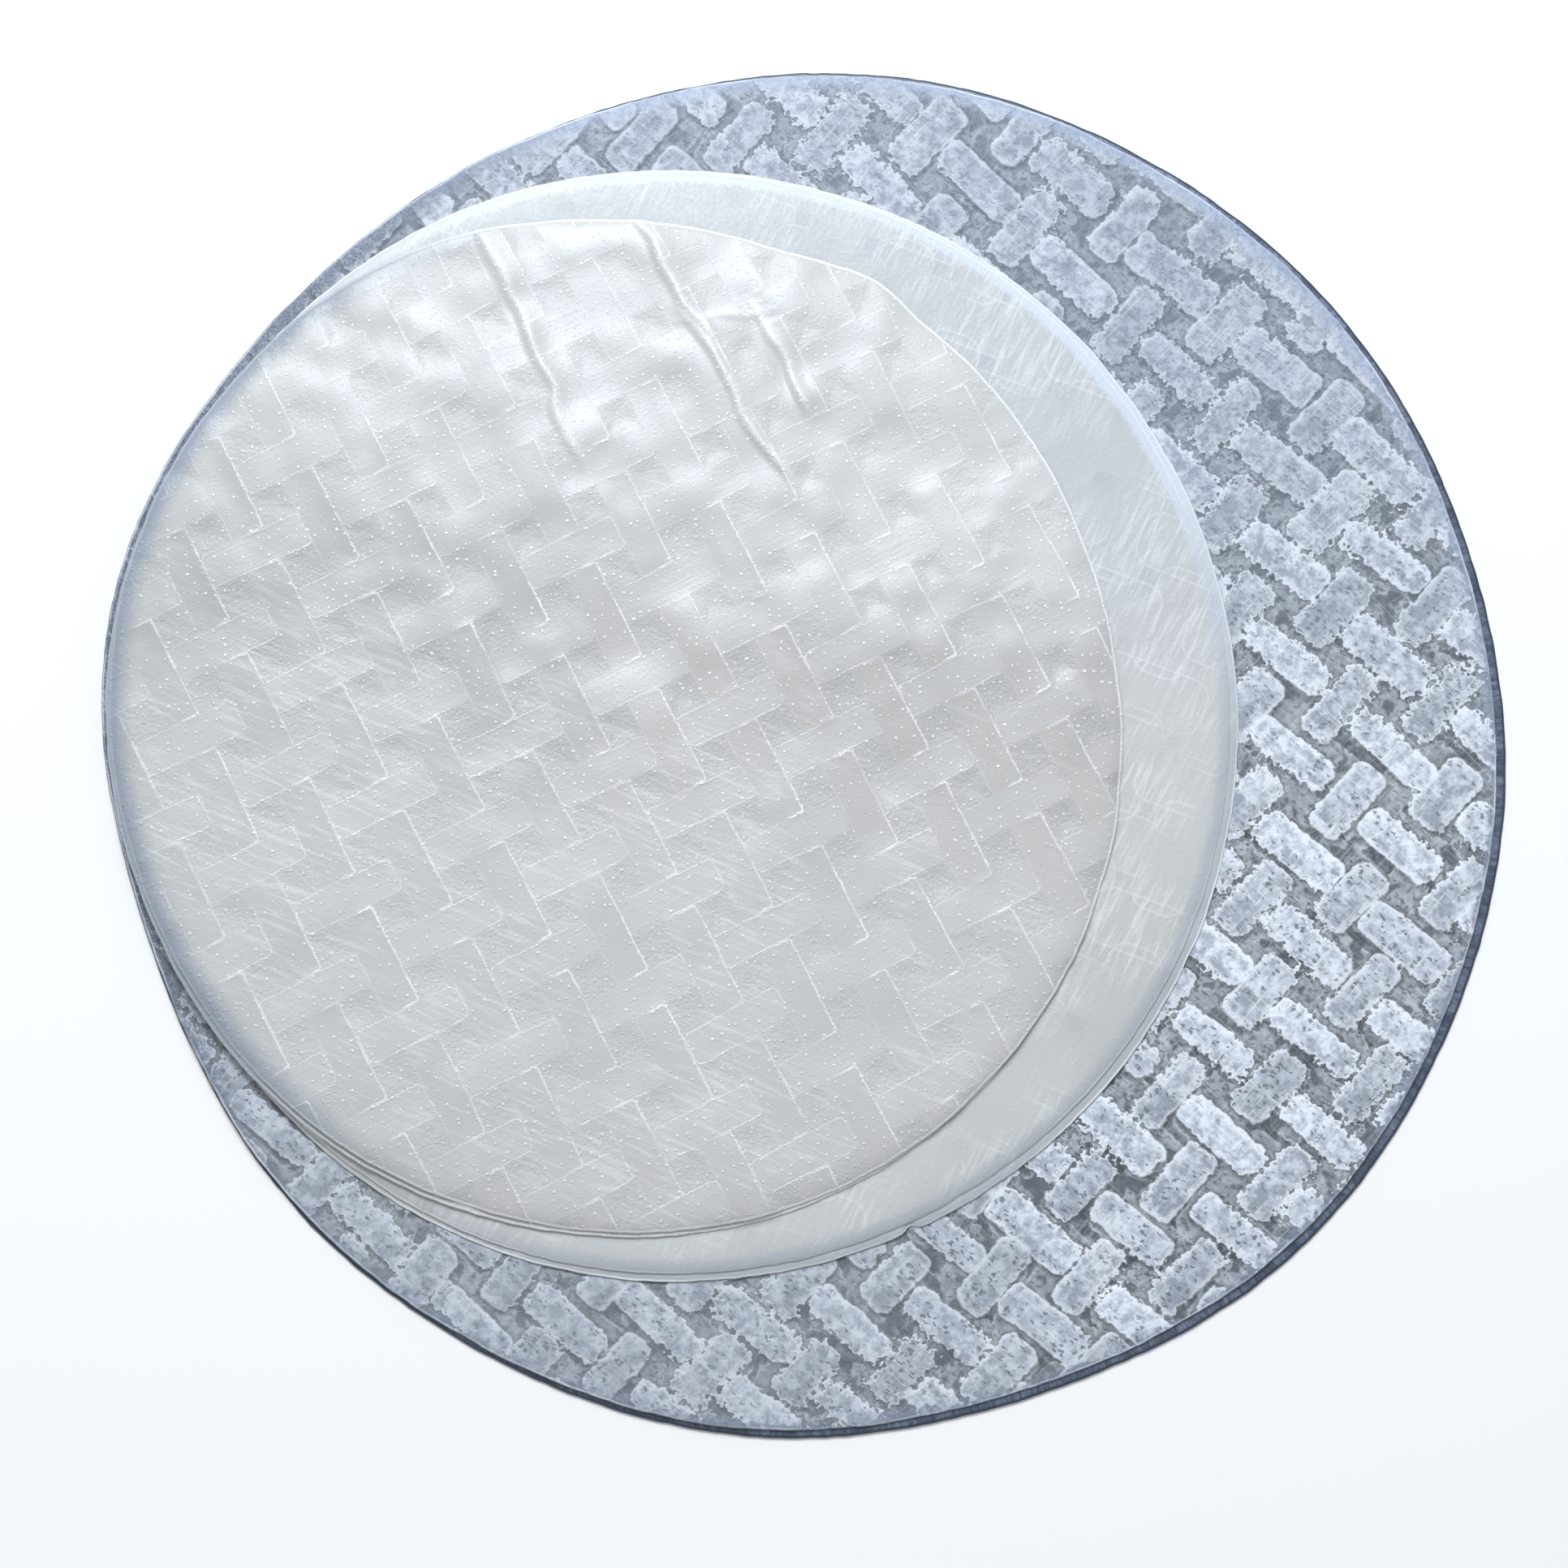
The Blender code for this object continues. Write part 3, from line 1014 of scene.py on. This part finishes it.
def medium_material(context, name, rim_highlight_share):
    board = Coats(name, 0.42, 0.15, context)
    span, times, noise, attribute = board.span, board.times, board.noise, board.attribute
    place = board.place
    cloud, wear = attribute("cloud"), attribute("wear")
    sky, thin_side = attribute("sky_side"), attribute("thin_side")
    scratches = board.most(
        board.scratches(62.0, 13.0, 2.1, 0.10, 0.35), board.scratches(-35.0, 9.0, 3.4, 0.09, 0.15)
    )
    feather = noise(board.stretch(place, 60.0, 8.0, 0.9), 1.0, 3.0, 0.65)
    feathers = times(span(feather, 0.46, 0.70), span(wear, 0.2, 0.7))
    specks = board.effect("Starch Bubbles", place, Cell=1.5, Radius=0.16, Share=0.45)
    along, across = attribute("level_float"), attribute("steep_float")
    line = board.most(board.near_zero(along, 0.28), board.near_zero(across, 0.28))
    line = times(line, span(wear, 0.3, 0.65))
    inside = span(board.most(along, across), -0.3, 0.5)
    grain = noise(place, 1.4, 2.0, 0.6)

    rim = attribute("rim_mm")
    ragged_rim = board.plus(rim, times(board.less(grain, 0.5), 1.6))
    # painted highlight along the very edge of the rim
    rim_highlight = board.near_zero(board.less(rim, 0.2), 0.24)
    band = span(ragged_rim, 2.7, 1.2, smooth=True)
    colour = board.lay(
        board.mix(cloud, "medium_shade", "medium_milk"),
        # painted bluish sky reflection on the side facing the light
        (times(sky, 0.6), "medium_sky"),
        (times(inside, 0.4), "medium_milk"),
        (times(feathers, 0.38), "ridge"),
        (times(line, 0.3), "ridge"),
        (times(scratches, wear, 0.52), "ridge"),
        (times(specks.outputs["Dome"], 0.3), "ridge"),
        (times(band, thin_side, 0.55), "medium_rim"),
        # painted sky reflection on the rim band on the side facing the light
        (times(band, sky), "sky_rim"),
        # painted highlight along the rim, in the colour of the raised lines
        (times(rim_highlight, span(thin_side, 0.0, 0.8, 0.8, rim_highlight_share)), "ridge"),
    )
    height = board.plus(
        times(specks.outputs["Dome"], 0.04), times(feathers, 0.025), times(grain, 0.04)
    )
    return board.finish(colour, span(grain, 0.3, 0.7, 0.38, 0.48), height)


def large_material(context):
    board = Coats("coarse_mat_print", 0.5, 0.04, context)
    span, times, noise, attribute = board.span, board.times, board.noise, board.attribute
    place = board.place
    tone, low_tone = attribute("float_tone"), attribute("below_tone")
    cloud, wear, sky = attribute("cloud"), attribute("wear"), attribute("sky_side")
    tear = board.less(noise(place, 0.95, 1.5, 0.5), 0.5)
    shake = times(tear, span(wear, 0.2, 0.85, 0.5, 4.2))
    down, up, below = (
        board.effect("Ragged Print", Inside=attribute(key), Shake=shake)
        for key in ("down_float", "up_float", "below_float")
    )
    patch, edge, shadow = (
        board.most(down.outputs[key], up.outputs[key]) for key in ("Patch", "Edge", "Shadow")
    )

    # pits where the paste didn't cover: more on some floats than on others
    grain = noise(place, 2.6, 2.0, 0.65)
    warped = board.shifted(
        board.stretch(place, -38.0, 1.4, 0.8), times(grain, 0.9), times(tear, 1.6)
    )
    pits = board.effect("Starch Bubbles", warped, Cell=1.05, Radius=0.36, Share=0.7)
    patchy = noise(place, 0.24, 2.0, 0.55)
    pitted = times(pits.outputs["Dome"], span(tone, -0.9, 0.6, 0.6, 1.2))
    pitted = span(times(pitted, span(patchy, 0.42, 0.58, 0.35, 1.1)), 0.12, 0.7)

    # what lies between the floats: the print of the sheet below, with painted shadow beside the
    # upper floats
    mottle = span(noise(place, 0.5, 2.0, 0.65), 0.34, 0.66)
    thin = span(patchy, 0.46, 0.38)
    # the film is lighter on the side facing the light, a painted sky reflection
    film = board.lay(
        board.mix(mottle, "gap", "film"), (times(sky, 0.55), "below_dark_and_sky_tint"),
        (times(thin, 0.8), "gap"),
    )
    low_share = times(mottle, span(low_tone, -1.0, 1.0, 1.0, 0.35))
    low_colour = board.lay(
        board.mix(low_share, "below_dark_and_sky_tint", "below"), (times(pitted, 0.7), "gap")
    )
    below_patch = times(below.outputs["Patch"], span(thin, 0.0, 1.0, 1.0, 0.15))

    # the floats: milky in the middle and pale in a halo, with dark pits
    body = board.most(attribute("down_float"), attribute("up_float"))
    halo = span(board.plus(body, shake), 1.1, 0.1)
    milky = board.plus(
        times(mottle, 0.85), times(cloud, 0.4), times(halo, 0.6), times(grain, 0.3),
        times(below.outputs["Patch"], 0.34), -0.60,
    )
    top_colour = board.lay(
        board.mix(span(milky, 0.0, 1.0), "print_shade", "print_pale"),
        (span(tone, -0.2, 1.0, 0.0, 0.45), "print_shade"),
        # pits show less on the side facing the light, under a painted sky reflection
        (times(pitted, span(sky, 0.0, 1.0, 0.85, 0.35)), "pit"),
    )
    # the floats that rise to the right lie deeper and let more show through
    veil = times(up.outputs["Patch"], span(down.outputs["Patch"], 0.0, 1.0, 1.0, 0.0))
    solid = span(veil, 0.0, 1.0, 1.0, 0.8)

    # hair-thin scratches and brushing that cross the floats
    scratches = board.most(
        board.scratches(-47.0, 24.0, 2.4, 0.08, 0.55), board.scratches(28.0, 30.0, 6.0, 0.09, 0.5)
    )
    brushed = noise(board.stretch(place, 46.0, 8.0, 0.45), 1.0, 2.0, 0.6)
    combed = noise(board.stretch(place, -44.0, 8.0, 0.45), 1.0, 2.0, 0.6)
    brushing = times(
        board.most(span(brushed, 0.57, 0.72), span(combed, 0.59, 0.74)),
        span(cloud, 0.25, 0.8, 0.15, 0.6), span(patch, 0.0, 1.0, 0.35, 1.0),
    )

    # frosted band, mostly a painted sky sheen on the side facing the light, bare places, and a
    # painted highlight along the rim
    rim = attribute("rim_mm")
    uneven = board.plus(rim, times(tear, 3.5))
    frost = span(uneven, 3.6, 0.8, smooth=True)
    thinned = span(board.plus(uneven, times(cloud, -1.3)), 0.5, -0.5)
    bare = times(span(uneven, 4.5, 1.5, smooth=True), attribute("bare_side"))
    rim_highlight_line = board.near_zero(board.less(rim, 0.25), 0.22)
    colour = board.lay(
        film,
        (below_patch, low_colour),
        (times(below.outputs["Edge"], below_patch, 0.7), "below_edge"),
        # painted shadow of the upper floats on the film beside them
        (times(shadow, span(patchy, 0.36, 0.6, 0.12, 0.85)), "gap"),
        # painted sky sheen over the side facing the light
        (times(sky, 0.12), "frost"),
        (times(patch, solid), top_colour),
        (times(edge, span(wear, 0.2, 0.9, 0.35, 0.9)), "outline"),
        (times(scratches, 0.38), "outline"),
        (brushing, "outline"),
        # painted bluish sky tint over the side facing the light
        (times(sky, 0.32), "far_sky_tint"),
        (times(attribute("dim_side"), 0.4), "below_dark_and_sky_tint"),
        # frosted band along the rim, mostly a painted sky sheen on the side facing the light
        (times(frost, board.math("MULTIPLY_ADD", sky, 0.75, 0.10)), "frost"),
        # thinned rim, paler and bluer on the side facing the light: painted sky reflection
        (times(thinned, 0.8), board.mix(sky, "rim_grey", "rim_sky_lit_pale")),
        (times(bare, span(grain, 0.3, 0.7, 0.9, 0.3)), "rim_dark"),
        # painted highlight along the rim
        (times(rim_highlight_line, span(wear, 0.2, 0.8, 0.75, 0.15)), "outline"),
    )
    height = board.plus(times(patch, 0.08), times(pitted, -0.05), times(mottle, 0.06))
    return board.finish(colour, span(grain, 0.3, 0.7, 0.44, 0.62), height)


def bare_rim_material(context):
    """The lowest sheet shows only its rim: dark blue-grey with fine marks across it."""
    board = Coats("bare_rim", 0.34, 0.3, context)
    span = board.span
    rim, turn = board.attribute("rim_mm"), board.attribute("turn_mm")
    around = board.add("ShaderNodeCombineXYZ", {"X": turn, "Y": board.times(rim, 0.3)})
    streak = board.noise(around.outputs[0], 1.1, 4.0, 0.8)
    blotch = board.noise(around.outputs[0], 0.16, 3.0, 0.6)
    streaked = span(streak, 0.35, 0.7)
    dark = board.mix(streaked, "rim_dark", "rim_grey")
    # bluer and paler on the side facing the light: painted sky reflection
    sky_lit = board.mix(streaked, "rim_sky_lit", "rim_sky_lit_pale")
    colour = board.lay(
        board.mix(board.attribute("sky_side"), dark, sky_lit),
        (span(blotch, 0.42, 0.62, 0.0, 0.75), "rim_dark"),
        (span(rim, 0.6, 0.25), "navy"),
    )
    roughness = span(streak, 0.3, 0.7, 0.28, 0.42)
    return board.finish(colour, roughness, board.times(streak, 0.08))


# ---------------------------------------------------------------- settings

def colour_property(label, words, default):
    return bpy.props.FloatVectorProperty(
        name=label, description=words, subtype="COLOR", size=3, min=0.0, max=1.0, default=default
    )


PAPER_COLOURS = {
    "milk": ("Milky body of the small sheets", (0.52, 0.508, 0.495)),
    "milk_shade": ("Thinner milky places", (0.465, 0.455, 0.445)),
    "milk_thin": ("Clearer left side", (0.37, 0.385, 0.39)),
    # also the painted sheen on the far part of the small sheets
    "milk_pale_and_sheen": ("Smoothest milky places", (0.61, 0.615, 0.62)),
    "pebble": ("Pebbly squares of the fine print", (0.45, 0.452, 0.455)),
    "medium_milk": ("Body of the medium sheets", (0.57, 0.585, 0.59)),
    "medium_shade": ("Their thinner places", (0.50, 0.50, 0.495)),
    # also the painted highlights on the crests and along the rim
    "speck": ("Bubbles and crests", (0.93, 0.95, 0.97)),
    "medium_sky": ("Their part that faces the light", (0.39, 0.44, 0.50)),
    "ridge": ("Raised lines and scratches", (0.86, 0.88, 0.90)),
    "thin_rim": ("Rim where little paste lies", (0.25, 0.30, 0.38)),
    "medium_rim": ("Thin medium rims", (0.42, 0.46, 0.53)),
    "sky_rim": ("Rims that face the light", (0.66, 0.73, 0.84)),
    # also the painted sky sheen on the side facing the light
    "frost": ("Frosted band along the rims", (0.40, 0.475, 0.61)),
    "print_pale": ("Mat floats of the large sheet", (0.78, 0.84, 0.94)),
    "print_shade": ("Thinner floats", (0.36, 0.40, 0.475)),
    # also the painted highlight along the rim
    "outline": ("Pale outlines of the floats", (0.84, 0.87, 0.92)),
    # painted sky tint of the side facing the light
    "far_sky_tint": ("Bluish veil on the far side", (0.14, 0.18, 0.26)),
    "below_edge": ("Outlines of the print below", (0.55, 0.58, 0.62)),
    "below": ("Floats of the sheet below", (0.45, 0.485, 0.535)),
    # also the painted sky reflection on the film
    "below_dark_and_sky_tint": ("Their darker places", (0.255, 0.28, 0.32)),
    "film": ("Clear film between the floats", (0.225, 0.25, 0.285)),
    # also the painted shadow beside the upper floats
    "gap": ("Deepest gaps", (0.065, 0.076, 0.092)),
    "pit": ("Pits in the floats", (0.12, 0.14, 0.175)),
    "rim_dark": ("Bare rim of the lowest sheet", (0.045, 0.062, 0.10)),
    "rim_grey": ("Streaks of that rim", (0.22, 0.27, 0.36)),
    # lit colours of the bare rim: painted sky reflection on its side facing the light
    "rim_sky_lit": ("Bluer places of that rim", (0.10, 0.135, 0.225)),
    "rim_sky_lit_pale": ("Its palest streaks", (0.30, 0.37, 0.51)),
    "navy": ("Outermost line of the rim", (0.030, 0.045, 0.080)),
}


class PaperColours(bpy.types.PropertyGroup):
    __annotations__ = {
        key: colour_property(key.replace("_", " ").title(), words, default)
        for key, (words, default) in PAPER_COLOURS.items()
    }


# Divisions of the meshes: what they divide, their number, and the least and most allowed
FINENESS = {
    "large_sectors": ("Divisions around the large sheet", 1040, 90, 1100),
    "large_rings": ("Divisions across what shows of the large sheet", 72, 4, 80),
    "medium_rings": ("Divisions across what shows of the medium sheet", 52, 4, 80),
    "small_cells": ("Divisions each way of the small sheet", 276, 20, 280),
}


class SheetFineness(bpy.types.PropertyGroup):
    __annotations__ = {
        key: bpy.props.IntProperty(
            name=key.replace("_", " ").title(), description=words,
            default=number, min=least, max=most,
        )
        for key, (words, number, least, most) in FINENESS.items()
    }


class StageSettings(bpy.types.PropertyGroup):
    floor_colour: colour_property("Floor Colour", "Plain pale floor", (0.93, 0.93, 0.93))
    key_power: bpy.props.FloatProperty(
        name="Key Power", description="Large soft light beyond the stack", unit="POWER",
        default=25.5, min=0.0,
    )
    gloss_power: bpy.props.FloatProperty(
        name="Gloss Power", description="Small light mirrored in the sheets", unit="POWER",
        default=2.3, min=0.0,
    )
    ambient: bpy.props.FloatProperty(
        name="Ambient", description="Even light from all around", default=0.42, min=0.0,
    )
    camera_place: bpy.props.FloatVectorProperty(
        name="Camera Place", description="Where the camera stands", subtype="TRANSLATION",
        size=3, default=(-0.02974, -0.06683, 0.42126),
    )
    camera_turn: bpy.props.FloatVectorProperty(
        name="Camera Turn", description="Turn of the camera", subtype="EULER", size=3,
        default=(math.radians(8.01), math.radians(-3.07), math.radians(-2.10)),
    )
    camera_lens: bpy.props.FloatProperty(
        name="Camera Lens", description="Focal length in mm", default=61.67, min=10.0,
    )


# ---------------------------------------------------------------- operators

# Sectors of the sheets beneath a twin, and rings of those that show only their rims
HIDDEN_SECTORS, HIDDEN_RINGS = 900, 8
MEDIUM_SECTORS, MEDIUM_LOWER_RINGS = 1000, 10
# Unevenness of each size: first seed, and the size of the milkiness and of the wear in mm
LARGE_WEAR = (320, 9.0, 11.0)
MEDIUM_WEAR = (420, 22.0, 12.0)
SMALL_WEAR = (520, 20.0, 16.0)


def store_wear(piece, x, y, seed, cloud_size, wear_size):
    """Stores soft unevenness of the milkiness and of the wear, each from 0 to 1."""
    cloud = 0.65 * value_noise(x, y, cloud_size, seed)
    cloud += 0.35 * value_noise(x, y, cloud_size / 3.0, seed + 1)
    wear = 0.6 * value_noise(x, y, wear_size, seed + 2)
    wear += 0.4 * value_noise(x, y, wear_size / 2.5, seed + 3)
    store(piece, cloud=np.clip(0.5 + 0.8 * cloud, 0.0, 1.0),
          wear=np.clip(0.5 + 0.8 * wear, 0.0, 1.0))


class RICEPAPER_OT_large_sheets(bpy.types.Operator):
    """Build the two large sheets with their coarse mat print"""

    bl_idname = "ricepaper.large_sheets"
    bl_label = "Large Sheets"

    def execute(self, context):
        fineness = context.scene.sheet_fineness
        node = "wrapper_22_lower"
        lower = ring_sheet(
            "large_lower_sheet", node, "wrapper_22_upper", HIDDEN_SECTORS, HIDDEN_RINGS, flat_print
        )
        x, y = store_common(lower, node)
        turn, _ = polar(node, x, y)
        store(lower, turn_mm=turn * SHEETS[node][0])
        keep(lower, node, bare_rim_material(context))
        node = "wrapper_22_upper"
        upper = ring_sheet(
            "large_upper_sheet", node, "wrapper_18_lower",
            fineness.large_sectors, fineness.large_rings, large_relief,
        )
        x, y = store_common(upper, node)
        down, up, below, tone, low_tone = coarse_mat(x, y)
        store(upper, down_float=down, up_float=up, below_float=below,
              float_tone=tone, below_tone=low_tone)
        store_wear(upper, x, y, *LARGE_WEAR)
        keep(upper, node, large_material(context))
        return {"FINISHED"}


class RICEPAPER_OT_medium_sheets(bpy.types.Operator):
    """Build the two medium sheets with their faint wide print"""

    bl_idname = "ricepaper.medium_sheets"
    bl_label = "Medium Sheets"

    def execute(self, context):
        # piece, node, the sheet on it, its rings, and how strong the painted highlight along its
        # rim is on the thin side
        rows = (
            ("medium_lower_sheet", "wrapper_18_lower", "wrapper_18_upper",
             MEDIUM_LOWER_RINGS, 0.8),
            ("medium_upper_sheet", "wrapper_18_upper", "wrapper_16_lower",
             context.scene.sheet_fineness.medium_rings, 0.1),
        )
        for name, node, cover, rings, rim_highlight_share in rows:
            piece = ring_sheet(name, node, cover, MEDIUM_SECTORS, rings, medium_relief)
            x, y = store_common(piece, node)
            along, across = wide_mat(x, y)
            store(piece, level_float=along, steep_float=across)
            store_wear(piece, x, y, *MEDIUM_WEAR)
            keep(piece, node, medium_material(context, name + "_paper", rim_highlight_share))
        return {"FINISHED"}


class RICEPAPER_OT_small_sheets(bpy.types.Operator):
    """Build the two small sheets, the upper one with its basket print and creases"""

    bl_idname = "ricepaper.small_sheets"
    bl_label = "Small Sheets"

    def execute(self, context):
        material = small_material(context)
        lower = ring_sheet(
            "small_lower_sheet", "wrapper_16_lower", "wrapper_16_upper",
            HIDDEN_SECTORS, HIDDEN_RINGS, flat_print,
        )
        upper = full_sheet(
            "small_upper_sheet", "wrapper_16_upper", context.scene.sheet_fineness.small_cells,
            small_relief, broad_relief,
        )
        for piece, node in ((lower, "wrapper_16_lower"), (upper, "wrapper_16_upper")):
            x, y = store_common(piece, node)
            level, steep, _, _, right = fine_mat(x, y)
            store(piece, level_float=level, steep_float=steep, right_side=right,
                  far_part=lit_part(x, y), crest=crest_highlight_mask(x, y))
            store_wear(piece, x, y, *SMALL_WEAR)
            keep(piece, node, material)
        return {"FINISHED"}


SENSOR_WIDTH = 36.0
FLOOR_SIZE = 6.0
FLOOR_DEPTH = 0.0002
DAYLIGHT = (0.97, 0.985, 1.0)
# Lights: place, what they point at, and size, all in metres, then their colour
KEY_LIGHT = ((-0.25, 1.37, 1.37), (0.0, 0.0, 0.0), (0.98, 0.7), DAYLIGHT)
GLOSS_LIGHT = ((-0.003, 0.415, 0.738), (-0.020, 0.108, 0.0), (0.12, 0.12), (0.80, 0.90, 1.0))


def add_area(name, power, place, target, size, colour):
    bpy.ops.object.select_all(action="DESELECT")
    bpy.ops.object.light_add(type="AREA", location=place)
    lamp = bpy.context.active_object
    lamp.name = name
    lamp.data.shape = "RECTANGLE"
    lamp.data.size, lamp.data.size_y = size
    lamp.data.energy = power
    lamp.data.color = colour
    away = lamp.location - Vector(target)
    lamp.rotation_euler = away.to_track_quat("Z", "Y").to_euler()


class RICEPAPER_OT_stage(bpy.types.Operator):
    """Set the plain floor, the soft lights and the camera"""

    bl_idname = "ricepaper.stage"
    bl_label = "Stage"

    def execute(self, context):
        scene = context.scene
        settings = scene.stage_settings
        scene.view_settings.view_transform = "Standard"
        bpy.ops.object.select_all(action="DESELECT")
        bpy.ops.object.camera_add(location=settings.camera_place, rotation=settings.camera_turn)
        camera = context.active_object
        camera.data.lens = settings.camera_lens
        camera.data.sensor_width = SENSOR_WIDTH
        camera.data.clip_start = 0.01
        scene.camera = camera

        bpy.ops.object.select_all(action="DESELECT")
        bpy.ops.mesh.primitive_plane_add(size=FLOOR_SIZE, location=(0.0, 0.0, -FLOOR_DEPTH))
        floor = context.active_object
        floor.name = "floor"
        material = bpy.data.materials.new("pale_floor")
        material.use_nodes = True
        shader = material.node_tree.nodes["Principled BSDF"]
        shader.inputs["Base Color"].default_value = rgba(settings.floor_colour)
        shader.inputs["Roughness"].default_value = 0.9
        shader.inputs["Specular IOR Level"].default_value = 0.1
        floor.data.materials.append(material)

        add_area("key", settings.key_power, *KEY_LIGHT)
        add_area("gloss", settings.gloss_power, *GLOSS_LIGHT)
        world = bpy.data.worlds.new("soft_room")
        world.use_nodes = True
        background = world.node_tree.nodes["Background"]
        background.inputs["Color"].default_value = rgba(DAYLIGHT)
        background.inputs["Strength"].default_value = settings.ambient
        scene.world = world
        return {"FINISHED"}


class RICEPAPER_PT_stack(bpy.types.Panel):
    bl_label = "Rice Paper"
    bl_idname = "RICEPAPER_PT_stack"
    bl_space_type = "VIEW_3D"
    bl_region_type = "UI"
    bl_category = "Rice Paper"

    def draw(self, context):
        layout = self.layout
        for group in ("sheet_fineness", "stage_settings", "paper_colours"):
            settings = getattr(context.scene, group)
            box = layout.box()
            for key in settings.__class__.__annotations__:
                box.prop(settings, key)
        for operator in (
            RICEPAPER_OT_large_sheets, RICEPAPER_OT_medium_sheets,
            RICEPAPER_OT_small_sheets, RICEPAPER_OT_stage,
        ):
            layout.operator(operator.bl_idname)


CLASSES = (
    PaperColours, SheetFineness, StageSettings,
    RICEPAPER_OT_large_sheets, RICEPAPER_OT_medium_sheets, RICEPAPER_OT_small_sheets,
    RICEPAPER_OT_stage, RICEPAPER_PT_stack,
)


def register():
    for item in CLASSES:
        bpy.utils.register_class(item)
    scene = bpy.types.Scene
    scene.paper_colours = bpy.props.PointerProperty(type=PaperColours)
    scene.sheet_fineness = bpy.props.PointerProperty(type=SheetFineness)
    scene.stage_settings = bpy.props.PointerProperty(type=StageSettings)


def unregister():
    scene = bpy.types.Scene
    del scene.stage_settings
    del scene.sheet_fineness
    del scene.paper_colours
    for item in reversed(CLASSES):
        bpy.utils.unregister_class(item)


def main():
    register()
    bpy.ops.ricepaper.stage()
    bpy.ops.ricepaper.large_sheets()
    bpy.ops.ricepaper.medium_sheets()
    bpy.ops.ricepaper.small_sheets()


if __name__ == "__main__":
    main()
